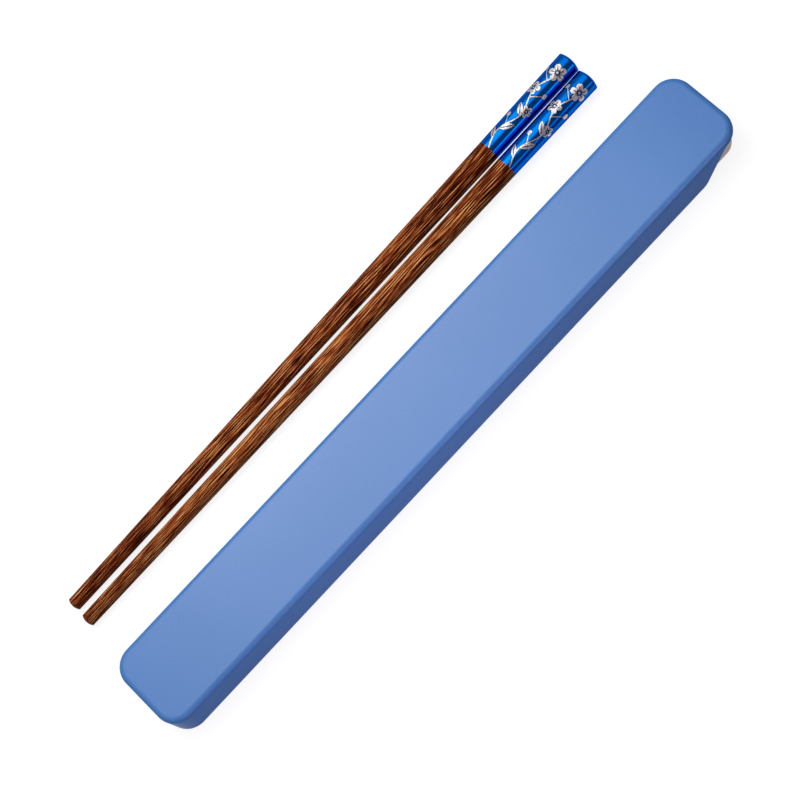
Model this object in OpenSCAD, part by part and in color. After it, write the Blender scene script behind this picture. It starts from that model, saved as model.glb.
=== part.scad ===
// Portable chopstick case: a skirted cover that slides along a tray, and the pair of chopsticks it carries.
// The origin is on the table under the middle of the case. X runs along the case towards its open end,
// Y points to the side where the chopsticks lie, and Z points up.

/* [Case] */
// Length of the closed case
case_l = 245; // [236:1:280]
// Width of the closed case
case_w = 29.2; // [27:0.1:36]
// Height of the closed case
case_h = 14; // [13:0.1:20]
// Radius of the case's corners, seen from above
corner_r = 7.2; // [6:0.1:10]

/* [Cover] */
// Thickness of the cover's side and end walls
cover_wall = 1.4; // [1.2:0.1:2]
// Thickness of the cover's top
cover_top = 2.6; // [1.4:0.1:3]
// Radius of the rounded edge round the cover's top
top_round = 1.7; // [1:0.1:3]
// Gap between the cover's lower edge and the table
skirt_gap = 0.25; // [0.1:0.05:0.6]
// Height of the guide lips along the foot of the long walls
lip_t = 1.2; // [0.8:0.1:1.6]
// Reach of the guide lips, from the inside of the walls
lip_reach = 1.1; // [0.6:0.1:1.5]
// Distance from the open end to the foot of the scooped wall ends
scoop_l = 17.75; // [14:0.05:25]
// Slope of the scooped wall ends above the table, in degrees
scoop_slope = 47.5; // [40:0.5:70]
// Radius of the scoop where it runs into the lower edge
scoop_round = 3; // [1:0.5:12]
// Radius of the scoop where it runs into the roof
roof_round = 2.5; // [0.5:0.1:4]

/* [Tray] */
// Thickness of the tray's walls
tray_wall = 1.5; // [1:0.1:1.8]
// Thickness of the tray's floor
tray_floor = 1.4; // [1:0.1:2]
// Running gap between the tray's sides and the cover
side_gap = 0.25; // [0.15:0.05:0.4]
// Running gap between the tray and the guide lips, on every side
lip_gap = 0.25; // [0.15:0.05:0.4]
// Gap between the tray's rim and the cover's roof
roof_gap = 0.4; // [0.2:0.05:0.8]
// Gap between the tray and the cover's closed end
end_gap = 0.4; // [0.2:0.05:1]
// Distance that the tray's end stays behind the cover's open end
front_inset = 1.45; // [0:0.05:3]

/* [Stick cradles] */
// Thickness of each cradle
cradle_t = 2; // [1.2:0.1:3]
// Height of a resting stick above the tray's floor
cradle_lift = 1; // [0.6:0.1:1.5]
// Gap between a stick and its notch
notch_gap = 0.3; // [0.1:0.05:0.6]
// Space between the two sticks in the cradles
cradle_space = 3.2; // [2:0.1:4]
// Distance from the tray's open end to the front cradle
front_cradle_in = 38; // [20:1:60]
// Distance from the tray's closed end to the rear cradle
rear_cradle_in = 34; // [20:1:60]

/* [Chopsticks] */
// Length of a chopstick
stick_l = 226.3; // [200:0.1:230]
// Diameter at the capped end
butt_d = 7.75; // [6:0.05:8.2]
// Diameter at the tip
tip_d = 4.55; // [3.2:0.05:5.5]
// Length of the metal cap
cap_l = 37.5; // [20:0.5:60]
// Height of the rounded end of the cap
butt_dome = 0.9; // [0.4:0.1:2]
// Height of the rounded tip
tip_dome = 0.7; // [0.4:0.1:1.6]
// Diameter of the tenon inside the cap
tenon_d = 4.4; // [3:0.1:5]
// Length of the tenon
tenon_l = 18; // [8:0.5:18]
// Glue gap round the tenon and at its end
glue_gap = 0.05; // [0.02:0.01:0.2]

/* [Layout on the table] */
// Distance from the open end of the case back to the near chopstick's capped end
butt_back = 15.85; // [0:0.05:40]
// How far the far chopstick's capped end lies beyond the near one's
pair_stagger = 0.36; // [-5:0.02:5]
// Clear space between the case and the near chopstick's capped end
near_space = 17.05; // [8:0.05:40]
// Clear space between the capped ends of the two chopsticks
pair_space = 0.68; // [0.5:0.02:12]
// Turn of the near chopstick from the case's length, in degrees
near_turn = 0.35; // [0:0.01:0.7]
// Turn of the far chopstick from the case's length, in degrees
far_turn = 0.76; // [0.4:0.01:1.2]

/* [Hidden] */
$fn = 128;
cut = 1;

cover_blue = "#5f87c3";
tray_cream = "#d8d0c8";
cap_blue = "#1560c8";
wenge = "#4a2a16";

roof_z = case_h - cover_top;
cover_in_w = case_w - 2 * cover_wall;
cover_in_r = corner_r - cover_wall;

tray_w = cover_in_w - 2 * side_gap;
tray_l = case_l - cover_wall - end_gap - front_inset;
tray_r = cover_in_r - side_gap;
tray_top = roof_z - roof_gap;
tray_mid_x = (cover_wall + end_gap - front_inset) / 2;
foot_in = lip_reach + lip_gap - side_gap;
foot_h = skirt_gap + lip_t + lip_gap;
ledge_z = foot_h + tray_floor;

taper = (butt_d - tip_d) / stick_l;
tilt = atan(taper / 2);
cap_start = stick_l - cap_l;
joint_d = tip_d + taper * cap_start;
cradle_pitch = butt_d + cradle_space;
tray_slack = (tray_l - 2 * tray_wall - stick_l) / 2;
tray_front_x = tray_mid_x + tray_l / 2;
tray_rear_x = tray_mid_x - tray_l / 2;
tray_butt_x = tray_front_x - tray_wall - tray_slack;

near_x = case_l / 2 - butt_back;
near_y = case_w / 2 + near_space + butt_d / 2;
far_x = near_x + pair_stagger;
far_y = near_y + butt_d + pair_space;

// Diameter of a stick at a distance from its tip
function stick_d(from_tip) = tip_d + taper * from_tip;

// Radius of the sphere whose cap has this base radius and height
function cap_sphere_r(base_r, height) = (base_r * base_r + height * height) / (2 * height);

// Rectangle with round corners
module round_rect(l, w, r) {
    square([l - 2 * r, w], center = true);
    for (side = [-1, 1])
        translate([side * (l - r) / 2, 0])
            square([r, w - 2 * r], center = true);
    for (sx = [0, 1], sy = [0, 1])
        mirror([sx, 0])
            mirror([0, sy])
                translate([l / 2 - r, w / 2 - r])
                    intersection() {
                        circle(r);
                        square(r);
                    }
}

// Carries a wall profile round a rectangle with round corners; the profile starts at the corners' axes
module sweep_round(l, w, r) {
    for (sx = [0, 1], sy = [0, 1])
        mirror([sx, 0, 0])
            mirror([0, sy, 0])
                translate([l / 2 - r, w / 2 - r, 0])
                    rotate_extrude(angle = 90)
                        children();
    for (side = [0, 1])
        mirror([0, side, 0])
            translate([r - l / 2, w / 2 - r, 0])
                rotate([90, 0, 90])
                    linear_extrude(l - 2 * r)
                        children();
    for (side = [0, 1])
        mirror([side, 0, 0])
            translate([l / 2 - r, w / 2 - r, 0])
                rotate([90, 0, 0])
                    linear_extrude(w - 2 * r)
                        children();
}

// Half section of a wall with a rounded upper edge
module round_edge_profile(r, h, edge) {
    square([r, h - edge]);
    translate([0, h - edge])
        square([r - edge, edge]);
    translate([r - edge, h - edge])
        intersection() {
            circle(edge);
            square(edge);
        }
}

// Block with round corners and a rounded edge round its top
module round_block(l, w, h, r, edge) {
    sweep_round(l, w, r)
        round_edge_profile(r, h, edge);
    linear_extrude(h)
        square([l - 2 * r, w - 2 * r], center = true);
}

// Side view of what the scoop takes off the cover's open end
module scoop_profile() {
    foot_x = case_l / 2 - scoop_l;
    head_x = foot_x + (roof_z - skirt_gap) / tan(scoop_slope);
    foot_t = scoop_round * tan(scoop_slope / 2);
    head_t = roof_round * tan(scoop_slope / 2);
    along = [cos(scoop_slope), sin(scoop_slope)];
    difference() {
        polygon([
            [foot_x - foot_t, skirt_gap - cut],
            [foot_x - foot_t, skirt_gap],
            [foot_x, skirt_gap] + foot_t * along,
            [head_x, roof_z] - head_t * along,
            [head_x + head_t, roof_z],
            [case_l / 2 + cut, roof_z],
            [case_l / 2 + cut, skirt_gap - cut]
        ]);
        translate([foot_x - foot_t, skirt_gap + scoop_round])
            circle(scoop_round);
    }
    translate([head_x + head_t, roof_z - roof_round])
        circle(roof_round);
}

// Blue moulded cover, closed at the rear and open at the front and below
module cover() {
    color(cover_blue)
        difference() {
            union() {
                difference() {
                    translate([0, 0, skirt_gap])
                        round_block(case_l, case_w, case_h - skirt_gap, corner_r, top_round);
                    cover_hollow();
                }
                for (side = [0, 1])
                    mirror([0, side, 0])
                        guide_lip();
            }
            translate([0, case_w / 2 + cut, 0])
                rotate([90, 0, 0])
                    linear_extrude(case_w + 2 * cut)
                        scoop_profile();
        }
}

// Space inside the cover, run out through its open end
module cover_hollow() {
    hollow_l = case_l - cover_wall + cover_in_r + cut;
    translate([hollow_l / 2 - case_l / 2 + cover_wall, 0, skirt_gap - cut])
        linear_extrude(roof_z - skirt_gap + cut)
            round_rect(hollow_l, cover_in_w, cover_in_r);
}

// Lip along the foot of one long wall, under the tray's ledge
module guide_lip() {
    translate([corner_r - case_l / 2, cover_in_w / 2 - lip_reach, skirt_gap])
        cube([case_l - 2 * corner_r, lip_reach + cover_wall / 2, lip_t]);
}

// Off-white moulded tray with a stepped foot, a trough and two cradles
module tray() {
    color(tray_cream)
        translate([tray_mid_x, 0, 0])
            difference() {
                union() {
                    linear_extrude(foot_h)
                        round_rect(tray_l - 2 * foot_in, tray_w - 2 * foot_in, tray_r - foot_in);
                    translate([0, 0, foot_h])
                        linear_extrude(tray_top - foot_h)
                            round_rect(tray_l, tray_w, tray_r);
                }
                trough();
            }
    color(tray_cream)
        for (x = [tray_front_x - front_cradle_in, tray_rear_x + rear_cradle_in])
            cradle(x);
}

// Hollow of the tray, narrower below the ledge so that the wall keeps its thickness
module trough() {
    low_in = foot_in + tray_wall;
    translate([0, 0, tray_floor])
        linear_extrude(tray_top - tray_floor + cut)
            round_rect(tray_l - 2 * low_in, tray_w - 2 * low_in, tray_r - low_in);
    translate([0, 0, ledge_z])
        linear_extrude(tray_top - ledge_z + cut)
            round_rect(tray_l - 2 * tray_wall, tray_w - 2 * tray_wall, tray_r - tray_wall);
}

// Cross wall with a half-round notch for each stick, sized for the sticks' taper at its place
module cradle(x) {
    notch_r = stick_d(stick_l - (tray_butt_x - x)) / 2 + notch_gap;
    top_z = tray_floor + cradle_lift + notch_r;
    half_w = tray_w / 2 - foot_in - tray_wall / 2;
    translate([x - cradle_t / 2, 0, 0])
        rotate([90, 0, 90])
            linear_extrude(cradle_t)
                difference() {
                    translate([-half_w, tray_floor / 2])
                        square([2 * half_w, top_z - tray_floor / 2]);
                    for (side = [-1, 1])
                        translate([side * cradle_pitch / 2, top_z])
                            circle(notch_r);
                }
}

// Lays a stick that is turned about Z onto the table, with its lower edge flat on it
module lay_stick(x, y, turn) {
    translate([x - stick_l * cos(turn), y - stick_l * sin(turn), tip_d / 2 * cos(tilt)])
        rotate([0, 0, turn])
            rotate([0, 90 - tilt, 0])
                children();
}

// Half disc segment that rounds off an end; it stands on the base line
module dome_profile(base_r, height) {
    sphere_r = cap_sphere_r(base_r, height);
    intersection() {
        translate([0, height - sphere_r])
            circle(sphere_r);
        square([base_r, height]);
    }
}

// Wood shaft: a long taper with a rounded tip and a tenon for the cap
module stick_shaft() {
    tip_base_r = stick_d(tip_dome) / 2;
    color(wenge)
        rotate_extrude() {
            translate([0, tip_dome])
                mirror([0, 1])
                    dome_profile(tip_base_r, tip_dome);
            polygon([
                [0, tip_dome],
                [tip_base_r, tip_dome],
                [joint_d / 2, cap_start],
                [0, cap_start]
            ]);
            translate([0, cap_start])
                square([tenon_d / 2, tenon_l]);
        }
}

// Metal cap: the shaft's taper carried on to a rounded end, with a blind bore for the tenon
module stick_cap() {
    dome_start = stick_l - butt_dome;
    butt_base_r = stick_d(dome_start) / 2;
    color(cap_blue)
        rotate_extrude()
            difference() {
                union() {
                    polygon([
                        [0, cap_start],
                        [joint_d / 2, cap_start],
                        [butt_base_r, dome_start],
                        [0, dome_start]
                    ]);
                    translate([0, dome_start])
                        dome_profile(butt_base_r, butt_dome);
                }
                translate([0, cap_start])
                    square([tenon_d / 2 + glue_gap, tenon_l + glue_gap]);
            }
}

module near_shaft() {
    lay_stick(near_x, near_y, near_turn)
        stick_shaft();
}

module near_cap() {
    lay_stick(near_x, near_y, near_turn)
        stick_cap();
}

module far_shaft() {
    lay_stick(far_x, far_y, far_turn)
        stick_shaft();
}

module far_cap() {
    lay_stick(far_x, far_y, far_turn)
        stick_cap();
}

tray();
cover();
near_shaft();
near_cap();
far_shaft();
far_cap();
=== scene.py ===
import math

import bmesh
import bpy
import numpy as np
from mathutils import Matrix, Vector


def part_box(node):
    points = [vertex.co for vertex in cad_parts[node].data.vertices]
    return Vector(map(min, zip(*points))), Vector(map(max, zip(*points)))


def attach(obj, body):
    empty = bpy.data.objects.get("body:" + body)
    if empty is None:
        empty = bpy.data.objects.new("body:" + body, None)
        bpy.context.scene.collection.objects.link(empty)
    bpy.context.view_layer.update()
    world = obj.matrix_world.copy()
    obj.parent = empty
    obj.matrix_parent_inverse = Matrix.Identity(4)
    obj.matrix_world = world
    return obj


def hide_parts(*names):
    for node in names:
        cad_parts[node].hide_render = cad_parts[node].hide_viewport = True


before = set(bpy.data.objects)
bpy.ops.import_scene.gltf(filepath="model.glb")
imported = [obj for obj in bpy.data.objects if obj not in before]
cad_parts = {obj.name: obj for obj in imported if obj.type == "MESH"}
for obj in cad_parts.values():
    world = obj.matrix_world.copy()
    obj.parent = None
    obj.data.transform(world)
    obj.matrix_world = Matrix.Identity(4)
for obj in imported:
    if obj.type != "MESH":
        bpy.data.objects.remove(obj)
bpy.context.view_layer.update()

mm = 0.001
hair = mm / 100  # two points closer than this are at the same place


def hexColour(hexText):
    channels = [int(hexText[i:i + 2], 16) / 255 for i in (1, 3, 5)]
    linear = [c / 12.92 if c <= 0.04045 else ((c + 0.055) / 1.055) ** 2.4 for c in channels]
    return (*linear, 1.0)


# adds one node; settings go to its sockets or its own fields, and links join sockets to its inputs
def addNode(tree, kind, settings=None, links=None):
    node = tree.nodes.new(kind)
    for name, value in (settings or {}).items():
        if name == "stops":
            while len(node.color_ramp.elements) < len(value):
                node.color_ramp.elements.new(1.0)
            for element, (place, colour) in zip(node.color_ramp.elements, value):
                element.position = place
                element.color = colour
        elif isinstance(name, int) or name in node.inputs:
            node.inputs[name].default_value = value
        else:
            setattr(node, name, value)
    for name, socket in (links or {}).items():
        tree.links.new(socket, node.inputs[name])
    return node


def newMaterial(name, shaderSettings):
    material = bpy.data.materials.new(name)
    material.use_nodes = True
    tree = material.node_tree
    tree.nodes.clear()
    shader = addNode(tree, "ShaderNodeBsdfPrincipled", shaderSettings)
    addNode(tree, "ShaderNodeOutputMaterial", links={"Surface": shader.outputs["BSDF"]})
    return material, tree, shader


# camera, worked out from the outline of the case in the picture
cameraSpec = {
    "place": (-19.8 * mm, -253.2 * mm, 711.0 * mm),
    "target": (-5.2 * mm, 10.08 * mm, 0.0),
    "upTurn": 44.83,  # degrees from +X, the way along the table that runs up the picture
    "lens": 112.73,
    "sensor": 36.0,
    "clip": (0.01, 50.0),
}
camera = bpy.data.objects.new("camera", bpy.data.cameras.new("camera"))
bpy.context.scene.collection.objects.link(camera)
place = Vector(cameraSpec["place"])
forward = (Vector(cameraSpec["target"]) - place).normalized()
upTurn = math.radians(cameraSpec["upTurn"])
up = Vector((math.cos(upTurn), math.sin(upTurn), 0))
up = (up - up.dot(forward) * forward).normalized()
turn = Matrix((forward.cross(up), up, -forward)).transposed().to_4x4()
camera.matrix_world = Matrix.Translation(place) @ turn
camera.data.lens = cameraSpec["lens"]
camera.data.sensor_width = cameraSpec["sensor"]
camera.data.clip_start, camera.data.clip_end = cameraSpec["clip"]
bpy.context.scene.camera = camera
print("camera set")

noiseSpan = (0.3, 0.7)  # nearly all values of a noise lie in this span


# Moulded ABS with a fine spark-eroded skin: an even mid blue under a broad, milky sheen. At a shallow
# look the grain of the skin hides its own gloss, so the walls stay a deep blue.
coverFinish = {
    "blue": "#4b7ec0",
    "deepBlue": "#4173b4",
    "roughness": 0.3,
    "ior": 1.53,
    "gloss": (0.46, 0.01),  # seen straight on and at a shallow look
    "glossSpan": (0.07, 0.26),  # how far the look turns aside between the two
    "cloud": 60 * mm,  # slow drift of the tint
    "grit": 0.45 * mm,  # real texture is about 0.05 mm, drawn coarser so that it shows
    "gritDepth": 0.015 * mm,
    "gritStrength": 0.7,
    "speckle": 0.55,  # share of the grit in the tint
}


def makeCoverPlastic():
    material, tree, shader = newMaterial("mouldedSatinAbsBlue", {
        "IOR": coverFinish["ior"],
        "Roughness": coverFinish["roughness"],
        "Specular IOR Level": coverFinish["gloss"][0],
    })
    look = addNode(tree, "ShaderNodeLayerWeight", {"Blend": 0.5})
    gloss = addNode(tree, "ShaderNodeMapRange", {
        "From Min": coverFinish["glossSpan"][0], "From Max": coverFinish["glossSpan"][1],
        "To Min": coverFinish["gloss"][0], "To Max": coverFinish["gloss"][1],
    }, {"Value": look.outputs["Facing"]})
    tree.links.new(gloss.outputs["Result"], shader.inputs["Specular IOR Level"])
    coords = addNode(tree, "ShaderNodeTexCoord").outputs["Object"]
    cloud = addNode(tree, "ShaderNodeTexNoise", {"Scale": 1 / coverFinish["cloud"], "Detail": 2.0},
                    {"Vector": coords})
    grit = addNode(tree, "ShaderNodeTexNoise", {"Scale": 1 / coverFinish["grit"], "Detail": 1.0},
                   {"Vector": coords})
    shade = addNode(tree, "ShaderNodeMix", {"data_type": "FLOAT", 0: coverFinish["speckle"]},
                    {2: cloud.outputs["Fac"], 3: grit.outputs["Fac"]})
    tint = addNode(tree, "ShaderNodeValToRGB", {"stops": [
        (noiseSpan[0], hexColour(coverFinish["deepBlue"])),
        (noiseSpan[1], hexColour(coverFinish["blue"])),
    ]}, {"Fac": shade.outputs[0]})
    bump = addNode(tree, "ShaderNodeBump", {
        "Strength": coverFinish["gritStrength"], "Distance": coverFinish["gritDepth"],
    }, {"Height": grit.outputs["Fac"]})
    tree.links.new(tint.outputs["Color"], shader.inputs["Base Color"])
    tree.links.new(bump.outputs["Normal"], shader.inputs["Normal"])
    return material


# Moulded polypropylene in a warm, pale grey: an even satin skin, soft at its edges.
trayFinish = {
    "pale": "#bab1a8",
    "shade": "#b2a9a0",
    "roughness": 0.42,
    "ior": 1.49,
    "cloud": 35 * mm,
    "grit": 0.5 * mm,  # drawn coarser than the real 0.1 mm
    "gritDepth": 0.004 * mm,
    "gritStrength": 0.3,
}


def makeTrayPlastic():
    material, tree, shader = newMaterial("mouldedPolypropyleneWarmGrey", {
        "IOR": trayFinish["ior"],
        "Roughness": trayFinish["roughness"],
    })
    coords = addNode(tree, "ShaderNodeTexCoord").outputs["Object"]
    cloud = addNode(tree, "ShaderNodeTexNoise", {"Scale": 1 / trayFinish["cloud"], "Detail": 2.0},
                    {"Vector": coords})
    tint = addNode(tree, "ShaderNodeValToRGB", {"stops": [
        (noiseSpan[0], hexColour(trayFinish["shade"])),
        (noiseSpan[1], hexColour(trayFinish["pale"])),
    ]}, {"Fac": cloud.outputs["Fac"]})
    grit = addNode(tree, "ShaderNodeTexNoise", {"Scale": 1 / trayFinish["grit"], "Detail": 1.0},
                   {"Vector": coords})
    bump = addNode(tree, "ShaderNodeBump", {
        "Strength": trayFinish["gritStrength"], "Distance": trayFinish["gritDepth"],
    }, {"Height": grit.outputs["Fac"]})
    tree.links.new(tint.outputs["Color"], shader.inputs["Base Color"])
    tree.links.new(bump.outputs["Normal"], shader.inputs["Normal"])
    return material


# Oiled wenge, turned and sanded along the stick: fine dark and golden streaks that run with it.
woodFinish = {
    "stops": [
        (0.37, "#180401"),
        (0.44, "#401308"),
        (0.49, "#662811"),
        (0.54, "#90431c"),
        (0.60, "#be6f34"),
        (0.67, "#dea264"),
    ],
    "roughness": 0.45,
    "ior": 1.5,
    "gloss": 0.02,
    "streak": {"size": (8 * mm, 0.19 * mm), "detail": 2.0},  # length and width of a grain streak
    "band": {"size": (18 * mm, 1.8 * mm), "detail": 0.0},  # slower bands of light and dark wood
    "bandShare": 0.03,
    "pore": {"size": (15 * mm, 0.2 * mm), "detail": 1.0},
    "poreSpan": (0.36, 0.48),  # noise inside a pore and beside it
    "poreTone": -0.06,
    "poreDepth": 0.02 * mm,
    "poreStrength": 0.4,
    "mixing": 0.6,  # roughness of each noise
    "lines": 24,  # fine dark lines round the stick, about 0.8 mm apart
    "lineTone": (0.04, 0.11),  # where they are faint and where they are strong
    "wander": 2.6,  # how many lines' widths they swing aside
    "endLong": 36 * mm,  # both ends of the wood are made darker over this length
    "endTone": -0.04,
}


def makeWood(name, stick):
    material, tree, shader = newMaterial(name, {
        "IOR": woodFinish["ior"],
        "Roughness": woodFinish["roughness"],
        "Specular IOR Level": woodFinish["gloss"],
    })
    coords = addNode(tree, "ShaderNodeTexCoord").outputs["Object"]
    # the grain runs with the taper: a place across the stick is measured in shares of the radius there
    onAxis = addNode(tree, "ShaderNodeMapping", {
        "vector_type": "TEXTURE",
        "Location": stickPlace(stick).translation,
        "Rotation": (math.radians(stick["roll"]), -stickTilt, math.radians(stick["turn"])),
    }, {"Vector": coords})
    axes = addNode(tree, "ShaderNodeSeparateXYZ", links={"Vector": onAxis.outputs["Vector"]})
    radius = addNode(tree, "ShaderNodeMath", {
        "operation": "MULTIPLY_ADD", 1: stickTaper / 2, 2: stickRadius(0),
    }, {0: axes.outputs["X"]})
    across = {axis: addNode(tree, "ShaderNodeMath", {"operation": "DIVIDE"},
                            {0: axes.outputs[axis], 1: radius.outputs[0]}).outputs[0] for axis in "YZ"}
    grainPlace = addNode(tree, "ShaderNodeCombineXYZ", links={"X": axes.outputs["X"], **across})
    middleRadius = stickRadius(stickSpec["long"] / 2)
    noise = {}
    for layer in ("streak", "band", "pore"):
        long, wide = woodFinish[layer]["size"]
        along = addNode(tree, "ShaderNodeMapping", {
            "vector_type": "TEXTURE",
            "Scale": (long, wide / middleRadius, wide / middleRadius),
        }, {"Vector": grainPlace.outputs["Vector"]})
        noise[layer] = addNode(tree, "ShaderNodeTexNoise", {
            "Scale": 1.0, "Detail": woodFinish[layer]["detail"], "Roughness": woodFinish["mixing"],
        }, {"Vector": along.outputs["Vector"]}).outputs["Fac"]
    streaks = addNode(tree, "ShaderNodeMix", {"data_type": "FLOAT", 0: woodFinish["bandShare"]},
                      {2: noise["streak"], 3: noise["band"]})
    # fine lines wander round the stick, faint in some bands and strong in others
    angle = addNode(tree, "ShaderNodeMath", {"operation": "ARCTAN2"},
                    {0: axes.outputs["Z"], 1: axes.outputs["Y"]})
    wander = addNode(tree, "ShaderNodeMapRange", {"To Max": 2 * math.pi * woodFinish["wander"]},
                     {"Value": noise["band"]})
    phase = addNode(tree, "ShaderNodeMath", {"operation": "MULTIPLY_ADD", 1: woodFinish["lines"]},
                    {0: angle.outputs[0], 2: wander.outputs["Result"]})
    line = addNode(tree, "ShaderNodeMath", {"operation": "SINE"}, {0: phase.outputs[0]})
    strength = addNode(tree, "ShaderNodeMapRange", {
        "From Min": noiseSpan[0], "From Max": noiseSpan[1],
        "To Min": woodFinish["lineTone"][0], "To Max": woodFinish["lineTone"][1],
    }, {"Value": noise["band"]})
    grain = addNode(tree, "ShaderNodeMath", {"operation": "MULTIPLY_ADD"},
                    {0: line.outputs[0], 1: strength.outputs["Result"], 2: streaks.outputs[0]})
    pores = addNode(tree, "ShaderNodeMapRange", {
        "From Min": woodFinish["poreSpan"][0], "From Max": woodFinish["poreSpan"][1],
        "To Min": stick["tone"] + woodFinish["poreTone"], "To Max": stick["tone"],
    }, {"Value": noise["pore"]})
    grainWithPores = addNode(tree, "ShaderNodeMath", {"operation": "ADD"},
                             {0: grain.outputs[0], 1: pores.outputs["Result"]})
    halfLong = (stickSpec["long"] - stickSpec["capLong"]) / 2
    pastMiddle = addNode(tree, "ShaderNodeMath", {"operation": "SUBTRACT", 1: halfLong},
                         {0: axes.outputs["X"]})
    fromMiddle = addNode(tree, "ShaderNodeMath", {"operation": "ABSOLUTE"}, {0: pastMiddle.outputs[0]})
    # the wood is made darker towards both of its ends
    ends = addNode(tree, "ShaderNodeMapRange", {
        "From Min": halfLong - woodFinish["endLong"], "From Max": halfLong,
        "To Max": woodFinish["endTone"],
    }, {"Value": fromMiddle.outputs[0]})
    shade = addNode(tree, "ShaderNodeMath", {"operation": "ADD"},
                    {0: grainWithPores.outputs[0], 1: ends.outputs["Result"]})
    tint = addNode(tree, "ShaderNodeValToRGB", {
        "stops": [(level, hexColour(colour)) for level, colour in woodFinish["stops"]],
    }, {"Fac": shade.outputs[0]})
    bump = addNode(tree, "ShaderNodeBump", {
        "Strength": woodFinish["poreStrength"], "Distance": woodFinish["poreDepth"],
    }, {"Height": grainWithPores.outputs[0]})
    tree.links.new(tint.outputs["Color"], shader.inputs["Base Color"])
    tree.links.new(bump.outputs["Normal"], shader.inputs["Normal"])
    return material


# Polished aluminium, anodised deep blue, and cut through to bright bare metal where it is engraved.
capFinish = {
    "blue": "#005cb4",
    "bare": "#c8c4c4",
    "rim": "#4f8fd8",  # the dyed layer tints a shallow look too
    "edge": "#03102c",  # painted shade on the slanting edge of the cut, dark all round it
    "cutSteps": (0.05, 0.35, 0.55, 0.80),  # shares of the depth: blue to, painted shade from, painted shade to, bare from
    "blueRoughness": 0.18,
    "bareRoughness": 0.4,
    "polishSpread": 0.04,  # in the roughness of the blue
    "stroke": 0.5 * mm,  # marks of the cutting tool in the bare metal
    "strokeDepth": 0.1 * mm,
    "polish": (9 * mm, 0.25 * mm),  # lengthwise polishing lines
}


def makeCapMetal(name, stick):
    material, tree, shader = newMaterial(name, {
        "Metallic": 1.0,
        "Specular Tint": hexColour(capFinish["rim"]),
    })
    coords = addNode(tree, "ShaderNodeTexCoord").outputs["Object"]
    engraved = addNode(tree, "ShaderNodeAttribute", {"attribute_name": "engraved"}).outputs["Fac"]
    long, wide = capFinish["polish"]
    along = addNode(tree, "ShaderNodeMapping", {
        "vector_type": "TEXTURE",
        "Rotation": (0.0, 0.0, math.radians(stick["turn"])),
        "Scale": (long, wide, wide),
    }, {"Vector": coords})
    lines = addNode(tree, "ShaderNodeTexNoise", {"Scale": 1.0, "Detail": 1.0},
                    {"Vector": along.outputs["Vector"]})
    polish = addNode(tree, "ShaderNodeMapRange", {
        "From Min": noiseSpan[0], "From Max": noiseSpan[1],
        "To Min": capFinish["blueRoughness"] - capFinish["polishSpread"],
        "To Max": capFinish["blueRoughness"] + capFinish["polishSpread"],
    }, {"Value": lines.outputs["Fac"]})
    # the edge colour is painted shade: a dark band round every cut stands in for the shade in its
    # slanting walls
    cutColours = [hexColour(capFinish[part]) for part in ("blue", "edge", "edge", "bare")]
    colour = addNode(tree, "ShaderNodeValToRGB", {"stops": list(zip(capFinish["cutSteps"], cutColours))},
                     {"Fac": engraved})
    strokes = addNode(tree, "ShaderNodeTexNoise", {"Scale": 1 / capFinish["stroke"], "Detail": 1.0},
                      {"Vector": coords})
    cut = addNode(tree, "ShaderNodeMath", {"operation": "MULTIPLY"},
                  {0: strokes.outputs["Fac"], 1: engraved})
    bump = addNode(tree, "ShaderNodeBump", {"Strength": 1.0, "Distance": capFinish["strokeDepth"]},
                   {"Height": cut.outputs[0]})
    roughness = addNode(tree, "ShaderNodeMix", {"data_type": "FLOAT", 3: capFinish["bareRoughness"]},
                        {0: engraved, 2: polish.outputs["Result"]})
    tree.links.new(colour.outputs["Color"], shader.inputs["Base Color"])
    tree.links.new(bump.outputs["Normal"], shader.inputs["Normal"])
    tree.links.new(roughness.outputs[0], shader.inputs["Roughness"])
    return material


def makePiece(name, bm, material, node, body):
    mesh = bpy.data.meshes.new(name)
    bm.to_mesh(mesh)
    bm.free()
    mesh.materials.append(material)
    piece = bpy.data.objects.new(name, mesh)
    bpy.context.scene.collection.objects.link(piece)
    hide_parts(node)
    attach(piece, body)
    return piece


# joins or cuts with a second mesh, and keeps the result as the piece's own mesh
def combine(bm, toolBm, operation):
    objects = []
    for source in (bm, toolBm):
        mesh = bpy.data.meshes.new("work")
        source.to_mesh(mesh)
        source.free()
        objects.append(bpy.data.objects.new("work", mesh))
        bpy.context.scene.collection.objects.link(objects[-1])
    base, tool = objects
    modifier = base.modifiers.new("combine", "BOOLEAN")
    modifier.operation = operation
    modifier.solver = "EXACT"
    modifier.object = tool
    result = base.evaluated_get(bpy.context.evaluated_depsgraph_get()).to_mesh()
    out = bmesh.new()
    out.from_mesh(result)
    for used in objects:
        usedMesh = used.data
        bpy.data.objects.remove(used)
        bpy.data.meshes.remove(usedMesh)
    return out


edgeSpec = {"segments": 3, "crispAngle": 32}  # only edges that turn more than this get a round


# small rounds on the crisp edges, with the broad faces kept flat to the eye
def softenEdges(piece, width):
    piece.data.shade_smooth()
    bevel = piece.modifiers.new("edgeRound", "BEVEL")
    bevel.width = width
    bevel.segments = edgeSpec["segments"]
    bevel.limit_method = "ANGLE"
    bevel.angle_limit = math.radians(edgeSpec["crispAngle"])
    bevel.use_clamp_overlap = False
    bevel.miter_outer = "MITER_ARC"
    normals = piece.modifiers.new("flatFaces", "WEIGHTED_NORMAL")
    normals.keep_sharp = True


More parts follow.
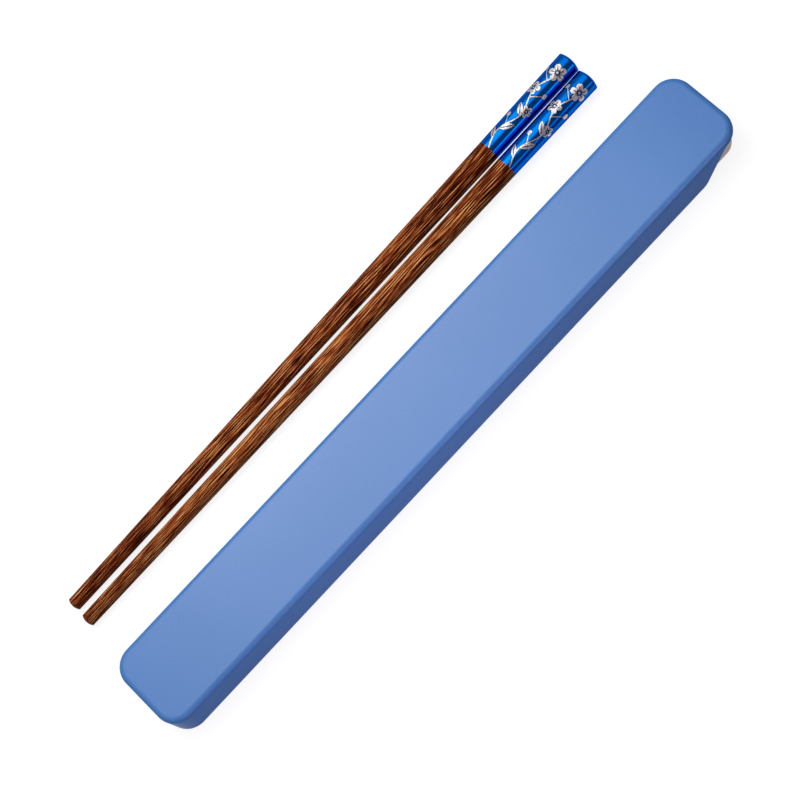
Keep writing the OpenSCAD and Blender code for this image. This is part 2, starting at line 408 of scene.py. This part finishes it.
# block with upright rounded corners; gives back its faces
def roundedBlock(bm, low, high, cornerRound, cornerSteps):
    others = set(bm.faces)
    verts = bmesh.ops.create_cube(bm, size=1)["verts"]
    bmesh.ops.scale(bm, vec=high - low, verts=verts)
    bmesh.ops.translate(bm, vec=(low + high) / 2, verts=verts)
    upright = {edge for vert in verts for edge in vert.link_edges
               if abs(edge.verts[0].co.z - edge.verts[1].co.z) > mm}
    bmesh.ops.bevel(bm, geom=list(upright), offset=cornerRound, offset_type="OFFSET",
                    segments=cornerSteps, profile=0.5, affect="EDGES", material=-1)
    return [face for face in bm.faces if face not in others]


# the one flat face at a height
def levelFace(faces, z):
    return next(face for face in faces if all(abs(vert.co.z - z) < hair for vert in face.verts))


coverSpec = {
    "cornerRound": 7.2 * mm,
    "cornerSteps": 18,
    "topRound": 2.0 * mm,
    "topSteps": 9,
    "wall": 1.4 * mm,
    "roof": 2.6 * mm,
    "lipHigh": 1.2 * mm,
    "lipReach": 1.1 * mm,
    "scoopIn": 17.75 * mm,  # from the open end to the foot of the scooped sides
    "scoopSlope": 47.5,  # degrees from level
    "scoopRound": 3 * mm,
    "scoopSteps": 20,
    "roofRound": 2.5 * mm,
    "roofSteps": 8,
    "cutBeyond": 2 * mm,  # how far the scoop's cutter stands out of the cover
    "edgeRound": 0.2 * mm,
    "fit": 0.005 * mm,  # keeps the rounded edges inside the case's width
    "squareOn": 0.99,  # a face whose normal has more than this across the case is a long wall
}


# side outline of the open end, drawn with two arcs and pushed through the cover's width
def scoopCutter(halfLong, halfWide, footZ, roofZ):
    slope = math.radians(coverSpec["scoopSlope"])
    along = Vector((math.cos(slope), 0, math.sin(slope)))
    beyond = coverSpec["cutBeyond"]
    startY = -halfWide - beyond
    foot = Vector((halfLong - coverSpec["scoopIn"], startY, footZ))
    head = foot + along * ((roofZ - footZ) / along.z)
    footTangent = coverSpec["scoopRound"] * math.tan(slope / 2)
    headTangent = coverSpec["roofRound"] * math.tan(slope / 2)
    bm = bmesh.new()
    outline = [bm.verts.new((foot.x - footTangent, startY, footZ - beyond))]
    arcs = (
        (foot - Vector((footTangent, 0, 0)), foot + Vector((-footTangent, 0, coverSpec["scoopRound"])),
         -slope, coverSpec["scoopSteps"]),
        (head - along * headTangent, head + Vector((headTangent, 0, -coverSpec["roofRound"])),
         slope, coverSpec["roofSteps"]),
    )
    for start, centre, sweep, steps in arcs:
        first = bm.verts.new(start)
        spun = bmesh.ops.spin(bm, geom=[first], cent=centre, axis=(0, 1, 0), angle=sweep, steps=steps)
        last = spun["geom_last"][0]
        bm.edges.new((outline[-1], first))
        outline += [first, last]
    for x, z in ((halfLong + beyond, roofZ), (halfLong + beyond, footZ - beyond)):
        corner = bm.verts.new((x, startY, z))
        bm.edges.new((outline[-1], corner))
        outline.append(corner)
    bm.edges.new((outline[-1], outline[0]))
    side = bmesh.ops.edgeloop_fill(bm, edges=bm.edges[:])["faces"]
    pushed = bmesh.ops.extrude_face_region(bm, geom=side)["geom"]
    bmesh.ops.translate(bm, vec=(0, 2 * (halfWide + beyond), 0),
                        verts=[part for part in pushed if isinstance(part, bmesh.types.BMVert)])
    bmesh.ops.recalc_face_normals(bm, faces=bm.faces[:])
    return bm


def buildCover():
    low, high = (Vector(corner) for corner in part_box("cover"))
    halfLong, halfWide = -low.x, high.y - coverSpec["fit"]
    roofZ = high.z - coverSpec["roof"]
    bm = bmesh.new()
    outer = roundedBlock(bm, Vector((-halfLong, -halfWide, low.z)), Vector((halfLong, halfWide, high.z)),
                         coverSpec["cornerRound"], coverSpec["cornerSteps"])
    footOuter = levelFace(outer, low.z)
    topEdges = levelFace(outer, high.z).edges[:]
    rim = footOuter.edges[:]
    bmesh.ops.delete(bm, geom=[footOuter], context="FACES_ONLY")
    bmesh.ops.bevel(bm, geom=topEdges, offset=coverSpec["topRound"], offset_type="OFFSET",
                    segments=coverSpec["topSteps"], profile=0.5, affect="EDGES", material=-1)
    inset = Vector((coverSpec["wall"], coverSpec["wall"], 0))
    inner = roundedBlock(bm, Vector((-halfLong, -halfWide, low.z)) + inset,
                         Vector((halfLong, halfWide, roofZ)) - inset,
                         coverSpec["cornerRound"] - coverSpec["wall"], coverSpec["cornerSteps"])
    footInner = levelFace(inner, low.z)
    rim += footInner.edges[:]
    bmesh.ops.reverse_faces(bm, faces=inner)
    bmesh.ops.delete(bm, geom=[footInner], context="FACES_ONLY")
    bmesh.ops.bridge_loops(bm, edges=rim)
    # guide lips: the foot of each long inner wall is split off and drawn inwards
    longWalls = [face for face in inner
                 if face.is_valid and abs(face.normal.y) > coverSpec["squareOn"]]
    wallGeom = longWalls + list({edge for face in longWalls for edge in face.edges})
    bmesh.ops.bisect_plane(bm, geom=wallGeom, dist=hair / 10, plane_no=(0, 0, 1),
                           plane_co=(0, 0, low.z + coverSpec["lipHigh"]))
    for side in (-1, 1):
        wallY = side * (halfWide - coverSpec["wall"])
        lip = [face for face in bm.faces
               if all(abs(vert.co.y - wallY) < hair for vert in face.verts)
               and max(vert.co.z for vert in face.verts) < low.z + coverSpec["lipHigh"] + hair
               and max(vert.co.z for vert in face.verts) > low.z + coverSpec["lipHigh"] / 2]
        drawn = bmesh.ops.extrude_face_region(bm, geom=lip)["geom"]
        bmesh.ops.delete(bm, geom=lip, context="FACES_ONLY")
        bmesh.ops.translate(bm, vec=(0, -side * coverSpec["lipReach"], 0),
                            verts=[part for part in drawn if isinstance(part, bmesh.types.BMVert)])
    bmesh.ops.recalc_face_normals(bm, faces=bm.faces[:])
    bm = combine(bm, scoopCutter(halfLong, halfWide, low.z, roofZ), "DIFFERENCE")
    piece = makePiece("caseCover", bm, makeCoverPlastic(), "cover", "cover")
    softenEdges(piece, coverSpec["edgeRound"])
    print("cover built")


traySpec = {
    "cornerRound": 5.55 * mm,
    "cornerSteps": 16,
    "wall": 1.5 * mm,
    "floor": 1.4 * mm,
    "footIn": 1.1 * mm,
    "footHigh": 1.7 * mm,
    "edgeRound": 0.25 * mm,
    "cradleThick": 2 * mm,
    "cradlePitch": 10.95 * mm,
    "notchSteps": 24,
    "cradles": (  # place along the case, top and notch radius
        {"x": 83.05 * mm, "top": 6.36 * mm, "notch": 3.96 * mm},
        {"x": -86.7 * mm, "top": 5.16 * mm, "notch": 2.76 * mm},
    ),
}


# cross wall with two half-round notches, drawn as an outline and pushed through its thickness
def cradlePlate(cradle, halfWide):
    startX = cradle["x"] - traySpec["cradleThick"] / 2
    bottom = traySpec["floor"] / 2
    bm = bmesh.new()
    outline = [bm.verts.new((startX, -halfWide, cradle["top"]))]
    for side in (-1, 1):
        notchY = side * traySpec["cradlePitch"] / 2
        first = bm.verts.new((startX, notchY - cradle["notch"], cradle["top"]))
        spun = bmesh.ops.spin(bm, geom=[first], cent=(startX, notchY, cradle["top"]), axis=(1, 0, 0),
                              angle=math.pi, steps=traySpec["notchSteps"])
        bm.edges.new((outline[-1], first))
        outline += [first, spun["geom_last"][0]]
    for y, z in ((halfWide, cradle["top"]), (halfWide, bottom), (-halfWide, bottom)):
        corner = bm.verts.new((startX, y, z))
        bm.edges.new((outline[-1], corner))
        outline.append(corner)
    bm.edges.new((outline[-1], outline[0]))
    plate = bmesh.ops.edgeloop_fill(bm, edges=bm.edges[:])["faces"]
    pushed = bmesh.ops.extrude_face_region(bm, geom=plate)["geom"]
    bmesh.ops.translate(bm, vec=(traySpec["cradleThick"], 0, 0),
                        verts=[part for part in pushed if isinstance(part, bmesh.types.BMVert)])
    bmesh.ops.recalc_face_normals(bm, faces=bm.faces[:])
    return bm


# sets a face in by a margin and then moves it up or down
def stepFace(bm, face, margin, rise):
    bmesh.ops.inset_region(bm, faces=[face], thickness=margin, use_even_offset=True)
    moved = bmesh.ops.extrude_face_region(bm, geom=[face])["geom"]
    bmesh.ops.delete(bm, geom=[face], context="FACES_ONLY")
    bmesh.ops.translate(bm, vec=(0, 0, rise),
                        verts=[part for part in moved if isinstance(part, bmesh.types.BMVert)])
    return next(part for part in moved if isinstance(part, bmesh.types.BMFace))


def buildTray():
    low, high = (Vector(corner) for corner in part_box("tray"))
    bodyLow = Vector((low.x, low.y, low.z + traySpec["footHigh"]))
    ledge = traySpec["footHigh"] + traySpec["floor"]
    bm = bmesh.new()
    block = roundedBlock(bm, bodyLow, high, traySpec["cornerRound"], traySpec["cornerSteps"])
    underside, rim = levelFace(block, bodyLow.z), levelFace(block, high.z)
    stepFace(bm, underside, traySpec["footIn"], -traySpec["footHigh"])
    shelf = stepFace(bm, rim, traySpec["wall"], ledge - high.z)
    stepFace(bm, shelf, traySpec["footIn"], traySpec["floor"] - ledge)
    bmesh.ops.recalc_face_normals(bm, faces=bm.faces[:])
    halfCradle = high.y - traySpec["footIn"] - traySpec["wall"] / 2
    for cradle in traySpec["cradles"]:
        bm = combine(bm, cradlePlate(cradle, halfCradle), "UNION")
    piece = makePiece("caseTray", bm, makeTrayPlastic(), "tray", "tray")
    softenEdges(piece, traySpec["edgeRound"])
    print("tray built")


stickSpec = {
    "long": 226.3 * mm,
    "buttWide": 7.75 * mm,
    "tipWide": 4.55 * mm,
    "capLong": 37.5 * mm,
    "buttDome": 0.9 * mm,
    "tipDome": 0.7 * mm,
    "domeSteps": {"butt": 10, "tip": 8},
    "rimRound": {"butt": 0.4 * mm, "tip": 0.24 * mm},
    "rimSteps": {"butt": 6, "tip": 5},
    "tenonWide": 4.4 * mm,
    "tenonLong": 18 * mm,
    "tenonChamfer": 0.4 * mm,
    "glueGap": 0.05 * mm,
    "shaftSteps": 72,
    "shaftRings": 24,
    "capSteps": 176,
    "capRings": 300,
    "sharpAngle": {"shaft": 40, "cap": 50},
}
sticks = (  # turn and roll in degrees, pattern in radians round the cap, tone of the wood
    {
        "name": "near",
        "butt": (106.65 * mm, 35.525 * mm),
        "turn": 0.35,
        "roll": 0,
        "pattern": 0.0,
        "tone": 0.016,
    },
    {
        "name": "far",
        "butt": (107.01 * mm, 43.955 * mm),
        "turn": 0.76,
        "roll": 140,
        "pattern": -0.35,
        "tone": -0.010,
    },
)
stickTaper = (stickSpec["buttWide"] - stickSpec["tipWide"]) / stickSpec["long"]
stickTilt = math.atan(stickTaper / 2)


def stickRadius(fromTip):
    return (stickSpec["tipWide"] + stickTaper * fromTip) / 2


# where a stick that points up from the origin comes to lie on the table
def stickPlace(stick):
    turn = math.radians(stick["turn"])
    tip = Vector((*stick["butt"], stickSpec["tipWide"] / 2 * math.cos(stickTilt)))
    tip -= stickSpec["long"] * Vector((math.cos(turn), math.sin(turn), 0))
    return (Matrix.Translation(tip) @ Matrix.Rotation(turn, 4, "Z")
            @ Matrix.Rotation(math.pi / 2 - stickTilt, 4, "Y"))


# half outline of a turned part, as a chain of edges from point to point; a radius of zero is on the axis
def turnedPart(points, steps):
    bm = bmesh.new()
    chain = [bm.verts.new((radius, 0, height)) for radius, height in points]
    edges = [bm.edges.new(pair) for pair in zip(chain, chain[1:])]
    bmesh.ops.spin(bm, geom=chain + edges, cent=(0, 0, 0), axis=(0, 0, 1), angle=2 * math.pi,
                   steps=steps, use_merge=True)
    bmesh.ops.remove_doubles(bm, verts=bm.verts[:], dist=hair / 20)
    bmesh.ops.recalc_face_normals(bm, faces=bm.faces[:])
    return bm


# points of a domed end from its axis out to its rim; the dome rises from base by height, up or down
def domePoints(baseRadius, base, height, steps):
    sphere = (baseRadius ** 2 + height ** 2) / (2 * abs(height))
    sign = math.copysign(1, height)
    reach = math.asin(baseRadius / sphere)
    return [(sphere * math.sin(reach * i / steps),
             base + height - sign * sphere * (1 - math.cos(reach * i / steps))) for i in range(steps + 1)]


# corner point of an outline swapped for a short arc between its neighbours
def roundCorner(before, corner, after, radius, steps):
    corner = Vector(corner)
    inward = (Vector(before) - corner).normalized()
    outward = (Vector(after) - corner).normalized()
    half = inward.angle(outward) / 2
    tangent = radius / math.tan(half)
    centre = corner + (inward + outward).normalized() * (radius / math.sin(half))
    start = corner + inward * tangent - centre
    finish = corner + outward * tangent - centre
    sweep = start.angle(finish)
    points = []
    for i in range(steps + 1):
        spoke = start * math.sin(sweep * (1 - i / steps)) + finish * math.sin(sweep * i / steps)
        points.append(tuple(centre + spoke / math.sin(sweep)))
    return points


def buildShaft(stick):
    joint = stickSpec["long"] - stickSpec["capLong"]
    dome = domePoints(stickRadius(stickSpec["tipDome"]), stickSpec["tipDome"], -stickSpec["tipDome"],
                      stickSpec["domeSteps"]["tip"])
    shoulder = (stickRadius(joint), joint)
    points = dome[:-2]
    points += roundCorner(dome[-3], dome[-1], shoulder, stickSpec["rimRound"]["tip"],
                          stickSpec["rimSteps"]["tip"])
    rings = stickSpec["shaftRings"]
    points += [(stickRadius(joint * i / rings), joint * i / rings) for i in range(1, rings + 1)]
    tenon = stickSpec["tenonWide"] / 2
    top = joint + stickSpec["tenonLong"]
    chamfer = stickSpec["tenonChamfer"]
    points += [(tenon, joint), (tenon, top - chamfer), (tenon - chamfer, top), (0, top)]
    bm = turnedPart(points, stickSpec["shaftSteps"])
    bmesh.ops.transform(bm, matrix=stickPlace(stick), verts=bm.verts[:])
    piece = makePiece(stick["name"] + "Shaft", bm, makeWood(stick["name"] + "OiledWenge", stick),
                      stick["name"] + "_shaft", stick["name"] + "_chopstick")
    piece.data.shade_smooth()
    piece.data.set_sharp_from_angle(angle=math.radians(stickSpec["sharpAngle"]["shaft"]))


# The engraving is a winding twig with blossoms, buds and leaves. Its pattern is laid out in millimetres,
# across from the middle of the side in view and along from the closed end.
engraving = {
    "strip": 23.5 * mm,  # way round the cap at its middle
    "depth": 0.06 * mm,
    "boreClear": 0.2 * mm,  # points closer to the bore than this aren't cut
    "faceTurn": 202,  # degrees round the stick, the side that looks up at the viewer
    "softEdge": 0.3,
    "veinWide": 0.2,
    "twig": {"sway": 1.25, "wave": 17.0, "shift": 2.0, "start": 7.5, "wide": 0.5},
    "blossoms": (  # across, along, radius, turn in radians
        (0.9, 6.4, 3.1, 0.3),
        (-2.0, 14.4, 2.6, 0.9),
        (1.9, 21.6, 2.1, 0.1),
    ),
    "petals": 5,
    "petal": {  # in shares of the blossom's radius
        "place": 0.6,
        "stretch": 0.92,
        "wide": 0.345,
        "notchPlace": 1.02,
        "notch": 0.1,
        "vein": 0.62,
        "eye": 0.15,
    },
    "buds": (  # across, along, radius
        (3.1, 14.4, 0.8),
        (-2.3, 25.4, 0.75),
        (-3.6, 7.0, 0.75),
    ),
    "budStretch": 0.8,
    "stalk": {"long": 3.2, "wide": 0.36},
    "leaves": (  # root along the twig, turn in degrees, length, width
        (24.0, -128, 4.8, 1.8),
        (31.0, -52, 5.2, 1.9),
        (34.6, -128, 4.8, 1.7),
    ),
    "leafVein": 0.36,  # share of the leaf's length, each way from its middle
}


# each field is the way in mm from a place to the edge of the shape, and below zero inside it
def blossomField(across, along, radius, turn):
    shape = engraving["petal"]
    reach = np.hypot(across, along)
    sector = 2 * math.pi / engraving["petals"]
    bearing = np.mod(np.arctan2(along, across) - turn + sector / 2, sector) - sector / 2
    out, side = reach * np.cos(bearing), reach * np.sin(bearing)
    petal = np.hypot((out - shape["place"] * radius) * shape["stretch"], side) - shape["wide"] * radius
    notch = np.hypot(out - shape["notchPlace"] * radius, side) - shape["notch"] * radius
    vein = np.maximum(np.abs(side) - engraving["veinWide"] / 2, out - shape["vein"] * radius)
    petal = np.maximum(np.maximum(petal, -notch), -vein)
    return np.minimum(petal, reach - shape["eye"] * radius)


def leafField(across, along, long, wide, turn):
    out = across * math.cos(turn) + along * math.sin(turn)
    side = along * math.cos(turn) - across * math.sin(turn)
    arc = ((long / 2) ** 2 + (wide / 2) ** 2) / wide
    blade = np.hypot(out, np.abs(side) + arc - wide / 2) - arc
    veinEnd = engraving["leafVein"] * long
    vein = np.maximum(np.abs(side) - engraving["veinWide"] / 2, np.abs(out) - veinEnd)
    return np.maximum(blade, -vein)


# where the twig is across the cap
def twigAt(along):
    twig = engraving["twig"]
    return twig["sway"] * np.sin(2 * math.pi * (along - twig["shift"]) / twig["wave"])


def twigField(across, along):
    twig = engraving["twig"]
    bend = 2 * math.pi / twig["wave"]
    lean = twig["sway"] * bend * np.cos(bend * (along - twig["shift"]))
    stem = np.abs(across - twigAt(along)) / np.sqrt(1 + lean ** 2) - twig["wide"] / 2
    return np.maximum(stem, twig["start"] - along)


# thin stalk from a bud to its root on the twig
def stalkField(across, along, bud, root):
    way = np.subtract(root, bud)
    share = np.clip(((across - bud[0]) * way[0] + (along - bud[1]) * way[1]) / way.dot(way), 0, 1)
    reach = np.hypot(across - bud[0] - share * way[0], along - bud[1] - share * way[1])
    return reach - engraving["stalk"]["wide"] / 2


# how far a place is cut, from none to the full depth
def engravedShare(across, along):
    strip = engraving["strip"] / mm
    nearest = np.full(across.shape, np.inf)
    for copy in (0, 1):  # the spray, and its mirror image on the other side of the cap
        wrapped = np.mod(across + copy * strip / 2 + strip / 2, strip) - strip / 2
        wrapped = wrapped * (1 - 2 * copy)
        for x, y, radius, turn in engraving["blossoms"]:
            nearest = np.minimum(nearest, blossomField(wrapped - x, along - y, radius, turn))
        for x, y, radius in engraving["buds"]:
            bud = np.hypot(wrapped - x, (along - y) * engraving["budStretch"]) - radius
            root = y + engraving["stalk"]["long"]
            stalk = stalkField(wrapped, along, (x, y), (twigAt(root), root))
            nearest = np.minimum(nearest, np.minimum(bud, stalk))
        for root, degrees, long, wide in engraving["leaves"]:
            turn = math.radians(degrees)
            x = twigAt(root) + math.cos(turn) * long / 2
            y = root + math.sin(turn) * long / 2
            nearest = np.minimum(nearest, leafField(wrapped - x, along - y, long, wide, turn))
        nearest = np.minimum(nearest, twigField(wrapped, along))
    return np.clip(0.5 - nearest / engraving["softEdge"], 0, 1)


def buildCap(stick):
    joint = stickSpec["long"] - stickSpec["capLong"]
    domeBase = stickSpec["long"] - stickSpec["buttDome"]
    dome = domePoints(stickRadius(domeBase), domeBase, stickSpec["buttDome"],
                      stickSpec["domeSteps"]["butt"])
    mouth = (stickRadius(joint), joint)
    rim = roundCorner(mouth, dome[-1], dome[-3], stickSpec["rimRound"]["butt"],
                      stickSpec["rimSteps"]["butt"])
    bore = stickSpec["tenonWide"] / 2 + stickSpec["glueGap"]
    boreTop = joint + stickSpec["tenonLong"] + stickSpec["glueGap"]
    points = [(0, boreTop), (bore, boreTop), (bore, joint)]
    rings = stickSpec["capRings"]
    side = rim[0][1] - joint
    points += [(stickRadius(joint + side * i / rings), joint + side * i / rings) for i in range(rings)]
    points += rim + dome[-4::-1]
    bm = turnedPart(points, stickSpec["capSteps"])
    # each point's place on the developed cap decides how far it is cut
    engraved = bm.verts.layers.float.new("engraved")
    verts = bm.verts[:]
    places = np.array([vert.co for vert in verts])
    faceTurn = math.radians(engraving["faceTurn"]) + stick["pattern"]
    bearing = np.mod(np.arctan2(places[:, 1], places[:, 0]) - faceTurn + math.pi, 2 * math.pi) - math.pi
    radii = np.hypot(places[:, 0], places[:, 1])
    share = engravedShare(bearing / (2 * math.pi) * engraving["strip"] / mm,
                          (stickSpec["long"] - places[:, 2]) / mm)
    outside = radii > bore + engraving["boreClear"]
    share = np.where(outside & (places[:, 2] < rim[0][1]), share, 0.0)
    for vert, value, radius in zip(verts, share, radii):
        vert[engraved] = value
        if value > 0:
            vert.co.xy *= 1 - value * engraving["depth"] / radius
    bmesh.ops.transform(bm, matrix=stickPlace(stick), verts=verts)
    piece = makePiece(stick["name"] + "Cap", bm, makeCapMetal(stick["name"] + "AnodisedAluminium", stick),
                      stick["name"] + "_cap", stick["name"] + "_chopstick")
    piece.data.shade_smooth()
    piece.data.set_sharp_from_angle(angle=math.radians(stickSpec["sharpAngle"]["cap"]))


buildCover()
buildTray()
for stick in sticks:
    buildShaft(stick)
    buildCap(stick)
    print(stick["name"], "chopstick built")


# White paper table: it keeps a soft shadow, and shows white to the camera and in the metal.
tableSpec = {
    "reach": 40.0,
    "sides": 96,
    "drop": 0.02 * mm,  # below the feet, so that the faces don't flicker
    "paper": "#8c8c8c",
    "roughness": 0.9,
    "gloss": 0.1,
    "lift": 0.84,  # glow of the paper where it is looked at
}


def buildTable():
    bm = bmesh.new()
    bmesh.ops.create_circle(bm, cap_ends=True, radius=tableSpec["reach"], segments=tableSpec["sides"])
    bmesh.ops.translate(bm, vec=(0, 0, -tableSpec["drop"]), verts=bm.verts[:])
    mesh = bpy.data.meshes.new("paperTable")
    bm.to_mesh(mesh)
    bm.free()
    table = bpy.data.objects.new("paperTable", mesh)
    bpy.context.scene.collection.objects.link(table)
    material, tree, shader = newMaterial("mattWhitePaper", {
        "Base Color": hexColour(tableSpec["paper"]),
        "Roughness": tableSpec["roughness"],
        "Specular IOR Level": tableSpec["gloss"],
        "Emission Color": (1, 1, 1, 1),
    })
    rays = addNode(tree, "ShaderNodeLightPath")
    seen = addNode(tree, "ShaderNodeMath", {"operation": "MAXIMUM"},
                   {0: rays.outputs["Is Camera Ray"], 1: rays.outputs["Is Glossy Ray"]})
    seen = addNode(tree, "ShaderNodeMath", {"operation": "MAXIMUM"},
                   {0: seen.outputs[0], 1: rays.outputs["Is Transmission Ray"]})
    lift = addNode(tree, "ShaderNodeMath", {"operation": "MULTIPLY", 1: tableSpec["lift"]},
                   {0: seen.outputs[0]})
    tree.links.new(lift.outputs[0], shader.inputs["Emission Strength"])
    mesh.materials.append(material)


# Two soft boxes hang one over the other at the back and a weaker one hangs in front. A fill card stands
# low in front of the case. The pale room has a dark stand in front of the caps.
lightSpec = {
    "lamps": (  # tilt in degrees from straight down
        {
            "name": "broadBox",
            "place": (0.000, 0.180, 0.350),
            "size": (0.305, 0.380),
            "tilt": 0,
            "radiance": 1.76,
            "tint": (1.0, 1.0, 1.0),
            "inGloss": True,
        },
        {
            "name": "keyBox",
            "place": (-0.018, 0.232, 0.348),
            "size": (0.235, 0.160),
            "tilt": 0,
            "radiance": 3.8,
            "tint": (1.0, 0.95, 0.9),
            "inGloss": True,
        },
        {
            "name": "frontBox",
            "place": (0.000, -0.110, 0.330),
            "size": (0.300, 0.120),
            "tilt": -18,
            "radiance": 0.95,
            "tint": (0.85, 0.95, 1.0),
            "inGloss": False,
        },
        {
            "name": "fillCard",
            "place": (-0.030, -0.120, 0.032),
            "size": (0.140, 0.050),
            "tilt": 87,
            "radiance": 2.15,
            "tint": (1.0, 0.65, 0.77),
            "inGloss": False,
        },
    ),
    "roomLevel": 3.6,
    "room": (  # from the front wall over the ceiling to the back wall: place and share of the level
        (0.00, (0.060, 0.036, 0.055)),
        (0.35, (0.120, 0.100, 0.120)),
        (0.50, (0.224, 0.224, 0.224)),
    ),
    "stand": (  # the same way, where the stand is
        (0.05, (1.0, 0.85, 0.95)),
        (0.07, (0.069, 0.069, 0.069)),
        (0.42, (0.069, 0.069, 0.069)),
        (0.47, (0.224, 0.224, 0.224)),
        (0.90, (0.224, 0.224, 0.224)),
        (0.95, (0.144, 0.144, 0.144)),
    ),
    "side": ((0.57, (1.0, 1.0, 1.0)), (0.65, (0.45, 0.45, 0.45))),  # from left to right
    "standSpan": ((0.49, (0, 0, 0)), (0.53, (1, 1, 1)), (0.61, (1, 1, 1)), (0.65, (0, 0, 0))),
}


def buildLight():
    for lamp in lightSpec["lamps"]:
        data = bpy.data.lights.new(lamp["name"], "AREA")
        data.shape = "RECTANGLE"
        data.size, data.size_y = lamp["size"]
        data.color = lamp["tint"]
        data.energy = lamp["radiance"] * math.pi * data.size * data.size_y
        holder = bpy.data.objects.new(lamp["name"], data)
        holder.location = lamp["place"]
        holder.rotation_euler = (math.radians(lamp["tilt"]), 0, 0)
        holder.visible_camera = False
        holder.visible_glossy = lamp["inGloss"]
        bpy.context.scene.collection.objects.link(holder)
    world = bpy.data.worlds.new("studio")
    bpy.context.scene.world = world
    world.use_nodes = True
    tree = world.node_tree
    tree.nodes.clear()
    coords = addNode(tree, "ShaderNodeTexCoord")
    axes = addNode(tree, "ShaderNodeSeparateXYZ", links={"Vector": coords.outputs["Generated"]})
    ramps = {}
    for name, axis in (("room", "Y"), ("stand", "Y"), ("side", "X"), ("standSpan", "X")):
        way = addNode(tree, "ShaderNodeMapRange", {"From Min": -1.0, "From Max": 1.0},
                      {"Value": axes.outputs[axis]})
        ramps[name] = addNode(tree, "ShaderNodeValToRGB", {
            "stops": [(spot, (*share, 1)) for spot, share in lightSpec[name]],
        }, {"Fac": way.outputs["Result"]}).outputs["Color"]
    room = addNode(tree, "ShaderNodeMix", {"data_type": "RGBA", "blend_type": "MULTIPLY", 0: 1.0},
                   {6: ramps["room"], 7: ramps["side"]})
    level = addNode(tree, "ShaderNodeMix", {"data_type": "RGBA"},
                    {0: ramps["standSpan"], 6: room.outputs[2], 7: ramps["stand"]})
    glow = addNode(tree, "ShaderNodeBackground", {"Strength": lightSpec["roomLevel"]},
                   {"Color": level.outputs[2]})
    addNode(tree, "ShaderNodeOutputWorld", links={"Surface": glow.outputs["Background"]})


buildTable()
buildLight()
bpy.context.scene.view_settings.view_transform = "Standard"
print("stage lit")
